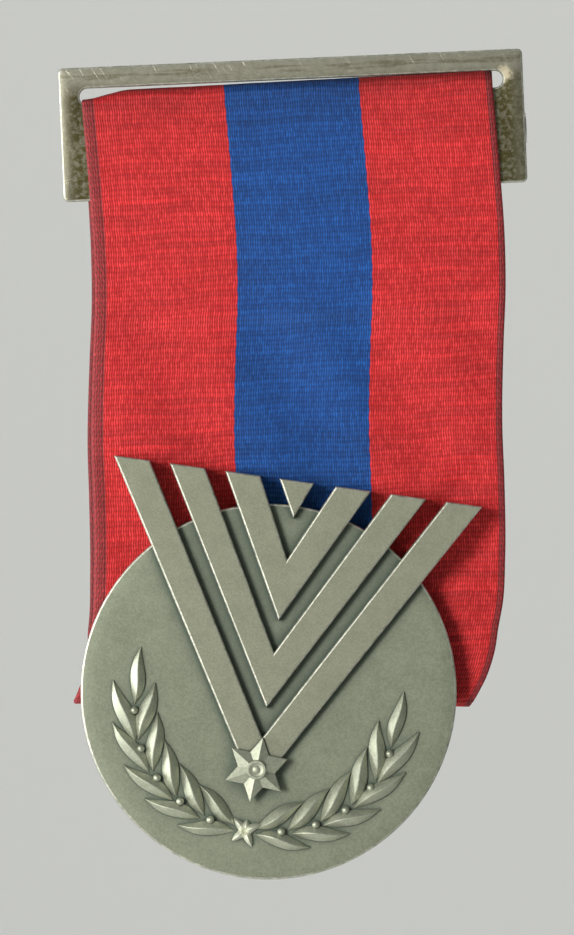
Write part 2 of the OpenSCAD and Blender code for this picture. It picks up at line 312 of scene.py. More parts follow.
def makeClothWeave():
    # warp threads that lie over raised ribs, each thread in dashes of uneven strength;
    # the cloth attribute carries millimetres across, millimetres along, and 1 on the outer side
    look = weaveLook
    tree, given, made = newGroup("clothWeave", {"Thread": ribbon["thread"], "Rib": ribbon["ribPitch"],
                                                "Left": -ribbon["left"], "Right": ribbon["right"],
                                                "Hem": ribbon["hem"], "Left Hem": ribbon["leftHem"]},
                                 ["Across", "Dash", "Tone", "Selvage", "Inside", "Height"])
    marks = put(tree, "ShaderNodeAttribute", attribute_name="cloth").outputs["Vector"]
    across, along, outside = put(tree, "ShaderNodeSeparateXYZ", {0: marks}).outputs

    def archOf(turns, power):
        # one rounded rise in every whole turn
        wave = calc(tree, "SINE", times(tree, turns, math.pi))
        return calc(tree, "POWER", calc(tree, "ABSOLUTE", wave), power)

    lean = calc(tree, "SINE", plus(tree, times(tree, along, look["leanAlong"]),
                                   times(tree, across, look["leanAcross"])))
    threads = calc(tree, "DIVIDE", plus(tree, across, times(tree, lean, look["lean"])), given["Thread"])
    thread = calc(tree, "FLOOR", threads)
    crown = calc(tree, "SINE", times(tree, calc(tree, "FRACT", threads), math.pi))
    ribs = calc(tree, "DIVIDE", along, given["Rib"])
    rib = calc(tree, "FLOOR", ribs)
    ribHeight = archOf(ribs, 0.6)

    # each thread's dashes start at a place of their own, brightest on the thread's crown, with painted shade
    # in the gaps between threads
    offset = whiteNoise(tree, "1D", W=thread)
    dashes = plus(tree, times(tree, ribs, look["dashesPerRib"]), times(tree, offset, look["dashShift"]))
    cell = put(tree, "ShaderNodeCombineXYZ", {0: thread, 1: calc(tree, "FLOOR", dashes)}).outputs[0]
    strength = whiteNoise(tree, "2D", Vector=cell)
    onCrown = plus(tree, times(tree, times(tree, crown, crown), 1.15), 0.02)
    dashAndGapShade = times(tree, plus(tree, times(tree, strength, 0.7), 0.3), onCrown)
    dashAndGapShade = times(tree, dashAndGapShade, plus(tree, times(tree, archOf(dashes, 0.4), 0.5), 0.5))

    # the tone changes slowly along each rib, with painted shade in the valleys between ribs, and the stripe's
    # edge strays a little from rib to rib
    pull = {0: times(tree, across, look["pullAcross"]), 1: times(tree, rib, look["pullPerRib"])}
    pulled = noise(tree, put(tree, "ShaderNodeCombineXYZ", pull).outputs[0], 1.0, 1.0, noise_dimensions="2D")
    tone = times(tree, plus(tree, times(tree, ribHeight, 0.30), 0.74),
                 plus(tree, times(tree, pulled, 0.6), 0.7))
    stray = times(tree, minus(tree, whiteNoise(tree, "1D", W=rib), 0.5), look["stray"])
    threadMiddle = plus(tree, times(tree, plus(tree, thread, 0.5), given["Thread"]), stray)

    # a braided hem along each side, wider on the left, with a groove where it ends
    onLeft = calc(tree, "LESS_THAN", across, 0.0)
    edge = plus(tree, given["Right"], times(tree, onLeft, minus(tree, given["Left"], given["Right"])))
    hemWidth = plus(tree, given["Hem"], times(tree, onLeft, minus(tree, given["Left Hem"], given["Hem"])))
    pastHem = minus(tree, minus(tree, edge, calc(tree, "ABSOLUTE", across)), hemWidth)
    slant = times(tree, plus(tree, times(tree, pastHem, look["braidSlope"]), along), look["braidRate"])
    braid = plus(tree, times(tree, calc(tree, "SINE", slant), 0.16), 0.78)
    hem = times(tree, ramp(tree, pastHem, -0.04, 0.04, 1.0, 0.0), braid)
    groove = ramp(tree, calc(tree, "ABSOLUTE", pastHem), 0.02, 0.10, 1.0, 0.0)
    selvage = calc(tree, "MAXIMUM", hem, times(tree, groove, 0.9))
    height = plus(tree, times(tree, crown, 0.6), times(tree, ribHeight, 0.2))
    height = minus(tree, plus(tree, height, times(tree, strength, 0.3)), times(tree, groove, 0.8))
    return fillOutputs(tree, made, Across=threadMiddle, Dash=dashAndGapShade, Tone=tone, Selvage=selvage,
                       Inside=minus(tree, 1.0, outside), Height=height)


metalSurface = makeMetalSurface()
clothWeave = makeClothWeave()


# ---- finishes ----

clothLook = dict(red=(0.90, 0.052, 0.058, 1), redDark=(0.42, 0.007, 0.009, 1),
                 blue=(0.013, 0.118, 0.46, 1), blueDark=(0.003, 0.040, 0.19, 1),
                 hem=(0.20, 0.030, 0.034, 1), stripe=6.25, bump=0.06, foldFrom=-1.0, foldTo=4.2)


def ribbonFinish():
    # three stripes and a hem, with painted shade towards the fold at the top, a painted shadow inside the
    # slot and painted shade on the inner side
    made, tree, shader = newMaterial("ribbedRibbon", Roughness=0.62)
    shader.inputs["Specular IOR Level"].default_value = 0.28
    shader.inputs["Sheen Weight"].default_value = 0.08
    shader.inputs["Sheen Roughness"].default_value = 0.4
    weave = place(tree, clothWeave)
    # the dark end of each mix: uneven threads, and painted shade in the gaps between threads
    red = blendColour(tree, weave["Dash"], clothLook["redDark"], clothLook["red"])
    blue = blendColour(tree, weave["Dash"], clothLook["blueDark"], clothLook["blue"])
    isRed = calc(tree, "GREATER_THAN", calc(tree, "ABSOLUTE", weave["Across"]), clothLook["stripe"])
    colour = blendColour(tree, isRed, blue, red)
    colour = blendColour(tree, weave["Selvage"], colour, clothLook["hem"])
    z = put(tree, "ShaderNodeSeparateXYZ", {0: ownPlace(tree)}).outputs[2]
    # painted shade: the cloth darker towards the fold at the top
    foldShade = ramp(tree, z, clothLook["foldFrom"] * mm, clothLook["foldTo"] * mm, 1.0, 0.80)
    shadow = ramp(tree, z, (clothLook["foldTo"] - 0.2) * mm, (clothLook["foldTo"] + 0.9) * mm, 1.0, 0.5)
    shade = times(tree, times(tree, weave["Tone"], foldShade), shadow)
    # painted shade: the cloth's inner side darker
    shade = times(tree, shade, minus(tree, 1.0, times(tree, weave["Inside"], 0.35)))
    grey = put(tree, "ShaderNodeCombineColor", {0: shade, 1: shade, 2: shade}).outputs[0]
    tree.links.new(blendColour(tree, 1.0, colour, grey, "MULTIPLY"), shader.inputs["Base Color"])
    bumpSurface(tree, shader, weave["Height"], 0.8, clothLook["bump"])
    return made


def metalFinish(name, light, dark, rough, grain=9.0, mottle=0.5, cloud=0.25, scratch=0.1, bump=0.012,
                turn=0.4, patinaAndShade=0.0, closedAt=0.45, openAt=0.95, halo=0.0, metallic=0.82):
    # two tones mixed by grain and mottling, bright scratches, and dark oxide with painted shade in the
    # relief's tight corners and, more widely, around it
    made, tree, shader = newMaterial(name, Metallic=metallic)
    surface = place(tree, metalSurface, Grain=grain, Mottle=mottle, Scratch=scratch, Turn=turn)
    tone = plus(tree, times(tree, ramp(tree, surface["Mottle"], 0.32, 0.68), cloud),
                times(tree, ramp(tree, surface["Grain"], 0.3, 0.7), 1.0 - cloud))
    colour = blendColour(tree, tone, dark, light)
    colour = blendColour(tree, times(tree, surface["Scratch"], 0.35), colour, metalLook["shine"])
    if patinaAndShade:
        # dark oxide with painted shade: darker colour where the relief closes in
        closed = ramp(tree, openness(tree, metalLook["patinaShadeReach"]), closedAt, openAt, 1.0, 0.0)
        colour = blendColour(tree, times(tree, closed, patinaAndShade), colour, metalLook["patinaShadeColour"])
    if halo:
        # dark oxide with painted shade: a wider darkening of the face around the raised relief
        near = ramp(tree, openness(tree, metalLook["haloReach"]), 0.55, 1.0, 1.0, 0.0)
        colour = blendColour(tree, times(tree, near, halo), colour, metalLook["halo"])
    rougher = plus(tree, times(tree, surface["Grain"], 0.14), rough)
    rougher = minus(tree, rougher, times(tree, surface["Scratch"], 0.12))
    tree.links.new(rougher, shader.inputs["Roughness"])
    tree.links.new(colour, shader.inputs["Base Color"])
    bumpSurface(tree, shader, surface["Height"], 0.6, bump)
    return made, tree, shader, colour


plateLook = dict(light=(0.50, 0.48, 0.39, 1), dark=(0.33, 0.32, 0.245, 1), tarnish=(0.115, 0.10, 0.035, 1),
                 wornGlint=(0.95, 0.84, 0.60, 1), streaks=(260.0, 1000.0, 3200.0), wander=2.6, rightLeg=0.72,
                 barShare=0.55)


def plateFinish(inner, outer, barLow, barHigh, spot):
    # olive tarnish on the legs beside the cloth and in streaks along the bar, and metal bright from wear and
    # a painted highlight at one spot
    made, tree, shader, colour = metalFinish("plateNickel", plateLook["light"], plateLook["dark"], 0.27,
                                             grain=11.0, scratch=0.55, mottle=1.4, cloud=0.45, bump=0.02,
                                             turn=0.2)
    where = ownPlace(tree)
    x, _, z = put(tree, "ShaderNodeSeparateXYZ", {0: where}).outputs
    uneven = noise(tree, where, 2200.0, 4.0, 0.7)
    wander = times(tree, minus(tree, uneven, 0.5), plateLook["wander"] * mm)
    legs = ramp(tree, plus(tree, calc(tree, "ABSOLUTE", x), wander), inner * mm, outer * mm, 1.0, 0.0)
    rightLeg = times(tree, calc(tree, "GREATER_THAN", x, 0.0), plateLook["rightLeg"])
    legs = calc(tree, "MAXIMUM", legs, rightLeg)
    streak = noise(tree, stretch(tree, where, plateLook["streaks"]), 1.0, 4.0)
    fromMiddle = calc(tree, "ABSOLUTE", minus(tree, z, (barLow + barHigh) / 2 * mm))
    bar = times(tree, ramp(tree, fromMiddle, 0.15 * mm, (barHigh - barLow) / 2 * mm, 1.0, 0.0),
                ramp(tree, streak, 0.42, 0.60))
    onBar = ramp(tree, z, (barLow - 1.6) * mm, (barLow + 0.3) * mm)
    stain = plus(tree, times(tree, legs, minus(tree, 1.0, onBar)),
                 times(tree, bar, times(tree, onBar, plateLook["barShare"])))
    speckle = ramp(tree, uneven, 0.36, 0.58, 0.45, 1.0)
    stained = blendColour(tree, times(tree, stain, speckle), colour, plateLook["tarnish"])
    # metal bright from wear, with a painted highlight: a bright spot at the slot's right end
    aside, above = minus(tree, x, spot[0] * mm), minus(tree, z, spot[1] * mm)
    away = calc(tree, "SQRT", plus(tree, times(tree, aside, aside), times(tree, above, above)))
    wornGlint = ramp(tree, plus(tree, away, times(tree, wander, 0.5)), 0.45 * mm, 0.95 * mm, 0.8, 0.0)
    stained = blendColour(tree, wornGlint, stained, plateLook["wornGlint"])
    tree.links.new(stained, shader.inputs["Base Color"])
    return made


cloth = ribbonFinish()
discMetal = metalFinish("agedDisc", (0.31, 0.335, 0.25, 1), (0.205, 0.225, 0.165, 1), 0.48, grain=6.0,
                        bump=0.02, mottle=0.3, cloud=0.3, patinaAndShade=0.8, halo=0.75, metallic=0.75)[0]
barMetal = metalFinish("chevronFace", (0.345, 0.357, 0.268, 1), (0.245, 0.257, 0.188, 1), 0.44, grain=6.0,
                       bump=0.02, mottle=0.5, cloud=0.3, patinaAndShade=0.8, metallic=0.78)[0]
leafMetal = metalFinish("rubbedLeaf", (0.51, 0.53, 0.42, 1), (0.35, 0.375, 0.29, 1), 0.45, grain=5.0,
                        bump=0.03, mottle=0.8, cloud=0.3, patinaAndShade=0.85, closedAt=0.15, openAt=0.75,
                        metallic=0.8)[0]
# the knot's much lighter colour: metal polished by wear, and painted light on its faces
knotMetal = metalFinish("rubbedLitKnot", (0.86, 0.87, 0.74, 1), (0.68, 0.70, 0.58, 1), 0.5, grain=5.0,
                        metallic=0.8)[0]
# edges brightened by wear and by a painted highlight on the bevels
wornEdgeHighlight = metalFinish("wornEdgeHighlight", (0.66, 0.66, 0.57, 1), (0.30, 0.31, 0.25, 1), 0.33, grain=3.0,
                       mottle=0.9, cloud=0.5, metallic=0.85)[0]
steel = metalFinish("pinSteel", (0.60, 0.60, 0.58, 1), (0.40, 0.40, 0.38, 1), 0.22, mottle=0.9,
                    scratch=0.5)[0]
print("finishes made")


# ---- ribbon ----

# pairs of a height and a place across: the front layer's middle, and how far left of it the back layer lies
frontMiddle = [(-54.5, -5.4), (-53.8, -4.6), (-52.1, -3.4), (-49.2, -2.15), (-46.4, -1.55), (-44.6, -1.13),
               (-40, -0.68), (-33, -0.45), (-28, -0.42), (-20, 0.05), (-15, 0.45), (-10, 0.57), (-4, 0.4),
               (4, 0.05)]
backShift = [(-53, 0), (-48, 0.2), (-44, 0.35), (-20, 0.35), (-10, 0.3), (4, 0)]
topFold = dict(rise=0.50, slope=0.010, droop=0.70, droopFrom=15, droopTo=19.6)
footFold = dict(leftZ=-51.0, rightZ=-52.9)
waves = dict(bow=0.22, bowZ=-11, bowReach=5, bowSpread=9.5, ripple=0.13, dent=0.30, dentX=14.5, dentZ=-37)
plateLow, plateHigh = (np.array(corner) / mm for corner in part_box("hanger_plate"))
topLow, topHigh = (np.array(corner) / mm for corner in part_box("ribbon_top_fold"))
loopY = (plateLow[1] + plateHigh[1]) / 2
loopR = (topHigh[1] - topLow[1]) / 2 - ribbon["thick"] / 2
topFoldZ = topHigh[2] - (topHigh[1] - topLow[1]) / 2


def clothSection():
    # once round the cloth's own section: places across, and heights from its middle
    left, right, rise, corner = ribbon["left"], ribbon["right"], ribbon["thick"] / 2, ribbon["corner"]
    outer = np.linspace(left + corner, right - corner, ribbon["outerCols"])
    inner = np.linspace(right - corner, left + corner, ribbon["innerCols"])
    across = np.concatenate([outer, [right, right], inner, [left, left]])
    height = np.concatenate([np.full(len(outer), rise), [rise / 2, -rise / 2],
                             np.full(len(inner), -rise), [-rise / 2, rise / 2]])
    return across, height


def frontWaves(across, z):
    # how far the front layer stands forward: a slack bow under the plate, soft ripples lower down
    # and a few dents near its right edge
    bow = waves["bow"] * np.exp(-((z - waves["bowZ"]) / waves["bowReach"]) ** 2)
    bow = bow * np.cos(across / waves["bowSpread"])
    ripples = waves["ripple"] * np.sin(across * 0.62 + z * 0.30) * smoothStep(-10, -24, z)
    side = np.exp(-((across - waves["dentX"]) / 3.2) ** 2) * np.exp(-((z - waves["dentZ"]) / 6) ** 2)
    dents = waves["dent"] * np.sin(0.9 * across - 0.85 * z + 1.0) * side
    return bow + ripples + dents


def weaveMarks(across, along, height):
    # the ribs' rise on the outer side, level at both ends, and the three values that the weave reads
    wander = 0.09 * np.sin(0.35 * across + 0.21 * along) + 0.05 * np.sin(0.9 * across - 0.5 * along + 1)
    inner = smoothStep(0.1, 0.8, along) * smoothStep(0.1, 0.8, along.max(axis=0) - along)
    placed = along + wander * inner
    ribs = -np.cos(2 * math.pi * placed / ribbon["ribPitch"]) * ribbon["ribRise"] * inner * (height > 0)
    return ribs, np.stack([across + 0 * along, placed, (height > 0) + 0 * along], -1)


def layerRings(foldZ, direction):
    # from the split, along the front layer to the fold, half a turn round it and back along the back layer
    across, height = clothSection()
    reach = float(np.mean(np.abs(foldZ(across) - ribbon["splitZ"])))
    rows = int(round(reach / ribbon["ribPitch"] * ribbon["rowsPerRib"]))
    level = np.concatenate([np.linspace(0, 1, rows, endpoint=False), np.ones(ribbon["arcRows"]),
                            np.linspace(1, 0, rows)])[:, None]
    turn = np.concatenate([np.zeros(rows), np.linspace(0, math.pi, ribbon["arcRows"], endpoint=False),
                           np.full(rows, math.pi)])[:, None]
    z = ribbon["splitZ"] + level * (foldZ(across)[None, :] - ribbon["splitZ"])
    share = turn / math.pi
    # the left edge draws in just above the foot and at the fold itself
    drawn = 0.75 * np.exp(-((z + 48.3) / 1.7) ** 2) + 0.12 * np.exp(-((z + 51.6) / 0.8) ** 2)
    tuck = drawn * smoothStep(10, 19, -across)
    low = z + loopR * direction * np.sin(turn)
    x = across[None, :] + tuck + smoothThrough(frontMiddle, low) - share * smoothThrough(backShift, low)
    outwards = np.stack([np.zeros_like(z), -np.cos(turn) + 0 * z, direction * np.sin(turn) + 0 * z], -1)
    middle = np.stack([x, np.full_like(z, loopY), z], -1) + loopR * outwards
    wave = frontWaves(across[None, :], z) * (1 - smoothStep(0, 0.5, share))
    middle[..., 1] -= wave
    steps = np.linalg.norm(np.diff(middle, axis=0), axis=-1)
    along = np.concatenate([np.zeros((1, len(across))), np.cumsum(steps, axis=0)])
    ribs, marks = weaveMarks(across, along, height)
    rings = middle + outwards * (height[None, :] + ribs)[..., None]
    return rings, marks


def clothPiece(name, rings, marks):
    # a length of the strip, with the marks that its weave reads
    piece = addPiece(name, *joinTubes([rings]), cloth, sharpAngle=80)
    marked = piece.data.attributes.new("cloth", "FLOAT_VECTOR", "POINT")
    marked.data.foreach_set("vector", marks.reshape(-1).astype(np.float32))
    return piece


def upperFold(across):
    # the fold over the slot's edge sits higher to the right and droops at the left corner
    droop = topFold["droop"] * smoothStep(topFold["droopFrom"], topFold["droopTo"], -across)
    return topFoldZ + topFold["rise"] + topFold["slope"] * across - droop


def lowerFold(across):
    # the fold at the foot runs down to the right
    share = (across - ribbon["left"]) / (ribbon["right"] - ribbon["left"])
    return footFold["leftZ"] + share * (footFold["rightZ"] - footFold["leftZ"])


upperRings, upperMarks = layerRings(upperFold, 1)
lowerRings, lowerMarks = layerRings(lowerFold, -1)
ribbonUpper = clothPiece("ribbon_upper", upperRings, upperMarks)
ribbonLower = clothPiece("ribbon_lower", lowerRings, lowerMarks)


def lapPiece():
    # the strip's sewn end, flat on the back layer
    across, height = clothSection()
    z = np.arange(ribbon["lapFoot"], ribbon["lapTop"], ribbon["ribPitch"] / ribbon["rowsPerRib"])[:, None]
    z = z + 0 * across[None, :]
    x = across[None, :] + smoothThrough(frontMiddle, z) - smoothThrough(backShift, z)
    along = z - ribbon["lapFoot"]
    ribs, marks = weaveMarks(across, along, height)
    y = loopY + loopR + ribbon["thick"] + ribbon["lapGap"] + height[None, :] + ribs
    return clothPiece("ribbon_lap", np.stack([x, y, z], -1), marks)


threadLook = dict(radius=0.11, count=17, pitch=2.05, length=1.35, inset=1.5, rise=0.09, twist=900.0,
                  shade=(0.22, 0.006, 0.010, 1), light=(0.50, 0.022, 0.028, 1), bump=0.03)


def threadFinish():
    # a twisted red thread
    made, tree, shader = newMaterial("seamThread", Roughness=0.55)
    bands = {"Vector": ownPlace(tree), "Scale": threadLook["twist"], "Distortion": 1.5}
    twist = put(tree, "ShaderNodeTexWave", bands, bands_direction="DIAGONAL").outputs["Fac"]
    colour = blendColour(tree, twist, threadLook["shade"], threadLook["light"])
    tree.links.new(colour, shader.inputs["Base Color"])
    bumpSurface(tree, shader, twist, 1.0, threadLook["bump"])
    return made


def seamPiece():
    # each stitch rises from the cloth and dips back into it: a round section along a low arch
    s = np.linspace(-1, 1, 9)[:, None]
    turn = np.linspace(0, 2 * math.pi, 8, endpoint=False)[None, :]
    radius = threadLook["radius"] * (0.55 + 0.45 * np.cos(s * 1.2))
    outY = loopY + loopR + 1.5 * ribbon["thick"] + ribbon["lapGap"]
    arch = threadLook["rise"] * (1.4 * np.cos(s * 1.5) - 0.6)
    tubes = []
    for z in (ribbon["lapFoot"] + threadLook["inset"], ribbon["lapTop"] - threadLook["inset"]):
        middle = float(smoothThrough(frontMiddle, z) - smoothThrough(backShift, z))
        for stitch in range(threadLook["count"]):
            x = middle + (stitch - (threadLook["count"] - 1) / 2) * threadLook["pitch"]
            tubes.append(np.stack([x + s * threadLook["length"] / 2 + 0 * turn,
                                   outY + arch + radius * np.cos(turn),
                                   z + radius * np.sin(turn)], -1))
    return addPiece("seam_thread", *joinTubes(tubes), threadFinish())


ribbonLap = lapPiece()
seamThread = standFor(seamPiece(), "medal", "seam_thread", "seam_stitches")
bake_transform(ribbonUpper)
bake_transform(ribbonLower)
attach(ribbonLap, "medal")
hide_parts("ribbon_top_fold")
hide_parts("ribbon_drop", "ribbon_lower_loop")


print("ribbon made")


# ---- medal ----

discLow, discHigh = (np.array(corner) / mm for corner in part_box("medal_disc"))
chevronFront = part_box("chevron_outer")[0][1] / mm
medal = dict(x=(discLow[0] + discHigh[0]) / 2, z=(discLow[2] + discHigh[2]) / 2,
             radius=(discHigh[0] - discLow[0]) / 2, front=discLow[1], back=discHigh[1],
             turn=10.45, wreathTurn=12.15, rim=0.2, segments=192)


def onMedal(u, y, v, turn=None):
    # a place on the medal's face: u to its right and v up, turned clockwise about its centre
    angle = math.radians(medal["turn"] if turn is None else turn)
    x = medal["x"] + u * math.cos(angle) + v * math.sin(angle)
    z = medal["z"] - u * math.sin(angle) + v * math.cos(angle)
    return np.stack(np.broadcast_arrays(x, y, z), -1)


def lathe(radii, depths, segments, u=0.0, v=0.0, turn=None):
    # a profile of radii and depths carried round an axis that stands square to the face
    angle = np.linspace(0, 2 * math.pi, segments, endpoint=False)[None, :]
    r, y = np.array(radii, float)[:, None], np.array(depths, float)[:, None]
    return onMedal(u + r * np.cos(angle), y + 0 * angle, v + r * np.sin(angle), turn)


def discPiece():
    # a flat face, a rounded rim and a flat back, each corner a quarter turn
    quarter = np.linspace(0, math.pi / 2, 7)
    rim = medal["rim"]
    frontR = medal["radius"] - rim + rim * np.sin(quarter)
    frontY = medal["front"] + rim - rim * np.cos(quarter)
    flat = [4, 10, 16]
    radii = np.concatenate([flat, frontR, frontR[::-1], flat[::-1]])
    depths = np.concatenate([[medal["front"]] * len(flat), frontY,
                             medal["back"] + medal["front"] - frontY[::-1], [medal["back"]] * len(flat)])
    points, faces = joinTubes([lathe(radii, depths, medal["segments"])])
    edgeRows = markRows(faces, medal["segments"], len(flat), len(flat) + len(quarter) - 1)
    return addPiece("disc", points, faces, discMetal, sharpAngle=12, edgeLook=wornEdgeHighlight, edgeFaces=edgeRows)


def insetOutline(outline, distance):
    # every side moved inwards by a distance, its corners where the moved sides meet
    ahead = np.roll(outline, -1, axis=0) - outline
    ahead /= np.linalg.norm(ahead, axis=1)[:, None]
    normal = np.stack([-ahead[:, 1], ahead[:, 0]], 1)
    area = np.sum(outline[:, 0] * np.roll(outline[:, 1], -1) - np.roll(outline[:, 0], -1) * outline[:, 1])
    normal *= np.sign(area)
    before = np.roll(normal, 1, axis=0)
    mitre = (normal + before) / (1 + np.sum(normal * before, axis=1))[:, None]
    return outline + distance * mitre


def prism(outline, front, back, bevel):
    # an outline's rings from its back to its front, the front edge rounded by a quarter turn
    outline = np.array(outline, float)
    rings = [onMedal(outline[:, 0], back, outline[:, 1])]
    for turn in np.linspace(0, math.pi / 2, 5):
        moved = insetOutline(outline, bevel * (1 - math.cos(turn)))
        rings.append(onMedal(moved[:, 0], front + bevel * (1 - math.sin(turn)), moved[:, 1]))
    return np.stack(rings)


chevrons = dict(top=19.8, bevel=0.17, sunk=0.02,
                chevron_outer=[(17.3, -9.4), (13.95, -4.3)], chevron_second=[(12.05, -1.5), (8.75, 3.7)],
                chevron_third=[(6.85, 6.7), (3.55, 12.45)])
centreWedge = dict(left=-1.75, right=1.5, tip=(0.05, 16.3))


def chevronPiece(node):
    # a bar from one end over the tip and down to the other, or the solid wedge in the middle
    top = chevrons["top"]
    if node == "chevron_centre":
        outline = [(centreWedge["right"], top), (centreWedge["left"], top), centreWedge["tip"]]
    else:
        (outerHalf, outerTip), (innerHalf, innerTip) = chevrons[node]
        outline = [(outerHalf, top), (innerHalf, top), (0, innerTip), (-innerHalf, top),
                   (-outerHalf, top), (0, outerTip)]
    rings = prism(outline, chevronFront, medal["back"] - chevrons["sunk"], chevrons["bevel"])
    points, faces = joinTubes([rings])
    edgeRows = markRows(faces, rings.shape[1], 1, len(rings) - 1)
    piece = addPiece(node + "_struck", points, faces, barMetal, sharpAngle=5, edgeLook=wornEdgeHighlight, edgeFaces=edgeRows)
    return standFor(piece, "medal", "medal_relief", node)


standFor(discPiece(), "medal", "medal_field", "medal_disc")
for node in ("chevron_outer", "chevron_second", "chevron_third", "chevron_centre"):
    chevronPiece(node)
print("disc and chevrons made")

star = dict(u=-0.12, v=-7.3, turn=3.5, outer=3.05, inner=1.76,
            rings=[(1, -0.05, -0.05), (1, 0.20, 0.20), (0.965, 0.28, 0.25), (0.62, 0.58, 0.40),
                   (0.27, 0.74, 0.68)])
boss = dict(base=0.6, ring=0.9, bore=0.62, dome=0.42, rise=0.36, floor=0.16)


def starPiece():
    # six points: the ridges run from the tips, the valleys from the notches, up to the middle
    turn = np.arange(12) * math.pi / 6 + math.radians(star["turn"])
    tip = np.arange(12) % 2 == 0
    reach = np.where(tip, star["outer"], star["inner"])
    rings = [onMedal(star["u"] + share * reach * np.sin(turn), chevronFront - np.where(tip, ridge, valley),
                     star["v"] + share * reach * np.cos(turn)) for share, ridge, valley in star["rings"]]
    return addPiece("star", *joinTubes([np.stack(rings)]), leafMetal, sharpAngle=8)


def bossPiece():
    # a raised ring with a small dome inside it
    front = chevronFront - boss["base"]
    rise = boss["rise"]
    ringR = [0.1, boss["ring"] + 0.02, boss["ring"], boss["ring"] - 0.06, boss["bore"] + 0.05,
             boss["bore"], 0.1]
    ringY = [front + 0.1, front + 0.1, front - rise + 0.07, front - rise, front - rise, front - rise + 0.08,
             front - boss["floor"]]
    quarter = np.linspace(0, math.pi / 2 - 0.08, 6)
    domeR = np.concatenate([[boss["dome"]], boss["dome"] * np.cos(quarter)])
    domeY = np.concatenate([[front], front - boss["floor"] - 0.16 * np.sin(quarter)])
    tubes = [lathe(ringR, ringY, 48, star["u"], star["v"]), lathe(domeR, domeY, 32, star["u"], star["v"])]
    return addPiece("boss", *joinTubes(tubes), leafMetal, sharpAngle=40)


standFor(starPiece(), "medal", "medal_relief", "six_point_star")
standFor(bossPiece(), "medal", "medal_relief", "star_boss")

wreath = dict(crest=0.66, edge=0.12, plump=0.16, berry=0.38, knotV=-13.1, outerLeaves=6)
# each leaf of the left branch from its tip to its foot, the outer ones first
leaves = [((-12.4, 2.1), (-12.1, -3.2)), ((-14.45, -1.35), (-11.45, -6.75)), ((-13.85, -5.25), (-9.7, -9.3)),
          ((-12.15, -9.0), (-7.0, -11.5)), ((-9.7, -11.75), (-4.3, -12.7)), ((-6.3, -13.65), (-1.0, -13.3)),
          ((-10.55, -0.95), (-11.2, -6.45)), ((-9.9, -3.6), (-9.35, -9.1)), ((-8.85, -6.0), (-6.8, -11.1)),
          ((-7.1, -8.0), (-3.95, -12.35)), ((-5.0, -9.6), (-1.0, -12.75))]
berries = [(-12.05, -3.8), (-10.85, -7.2), (-8.9, -9.65), (-6.4, -11.45), (-3.35, -12.65)]
leafSwell = [(0, 0.05), (0.2, 0.72), (0.46, 1), (0.75, 0.66), (1, 0.03)]
knotSwell = [(0, 1), (0.4, 0.85), (0.8, 0.5), (1, 0.15)]


def leafRings(tip, foot, half, crest, swell, bend=0.0, lift=1.0):
    # a ridge from foot to tip, with sides that fall to low walls; its middle bends like a flat S
    s = np.linspace(0, 1, 17)[:, None]
    tip, foot = np.array(tip, float), np.array(foot, float)
    way = tip - foot
    long = np.hypot(*way)
    along, across = way / long, np.array([-way[1], way[0]]) / long
    side = np.array([-1, -1, -0.7, -0.36, -0.06, 0.06, 0.36, 0.7, 1, 1])[None, :]
    slope = (1 - np.abs(side)) ** 0.85
    rise = smoothThrough([(0, 0.15), (0.2, 0.95), (0.75, 1), (1, 0.3)], s) * lift
    height = rise * (wreath["edge"] + (crest - wreath["edge"]) * slope)
    height[:, [0, -1]] = -0.1
    offset = half * smoothThrough(swell, s) * side + bend * long * np.sin(2 * math.pi * s)
    u = foot[0] + along[0] * s * long + across[0] * offset
    v = foot[1] + along[1] * s * long + across[1] * offset
    return u, height, v


def branchPiece(name, mirror):
    # the leaves and berries of one branch; the right one mirrors the left
    tubes = []
    for index, (tip, foot) in enumerate(leaves):
        outer = index < wreath["outerLeaves"]
        half = wreath["plump"] * math.dist(tip, foot) * (0.80 if outer else 0.9)
        u, height, v = leafRings(tip, foot, half, wreath["crest"] * (0.9 if outer else 1.0), leafSwell,
                                 bend=-0.02 if outer else 0.02)
        tubes.append(onMedal(mirror * u, medal["front"] - height, v, medal["wreathTurn"]))
    turn = np.linspace(0.12, math.pi - 0.12, 12)
    berryR, berryY = wreath["berry"] * np.sin(turn), medal["front"] - 0.3 + wreath["berry"] * np.cos(turn)
    for u, v in berries:
        tubes.append(lathe(berryR, berryY, 20, mirror * u, v, medal["wreathTurn"]))
    piece = addPiece(name + "_leaves", *joinTubes(tubes), leafMetal, sharpAngle=32)
    return standFor(piece, "medal", "medal_relief", name)


knot = dict(half=0.46, crest=0.52,
            ends=((-1.2, 0.95), (1.35, 0.8), (-1.0, -1.1), (0.85, -1.35), (0.05, 1.0)))


def knotPiece():
    # five short ends that taper from the middle
    knotV = wreath["knotV"]
    tubes = []
    for endU, endV in knot["ends"]:
        u, height, v = leafRings((endU, knotV + endV), (0, knotV), knot["half"], knot["crest"], knotSwell,
                                 lift=1.05)
        tubes.append(onMedal(u, medal["front"] - height, v, medal["wreathTurn"]))
    return addPiece("knot", *joinTubes(tubes), knotMetal, sharpAngle=32)


branchPiece("wreath_branch_left", 1)
branchPiece("wreath_branch_right", -1)
standFor(knotPiece(), "medal", "medal_relief", "wreath_knot")
print("star and wreath made")


# ---- hanger ----

plate = dict(slotWidth=39.6, slotHeight=1.58, bar=1.97, corner=0.5, bevel=0.17, cornerSteps=8, sideSteps=6)


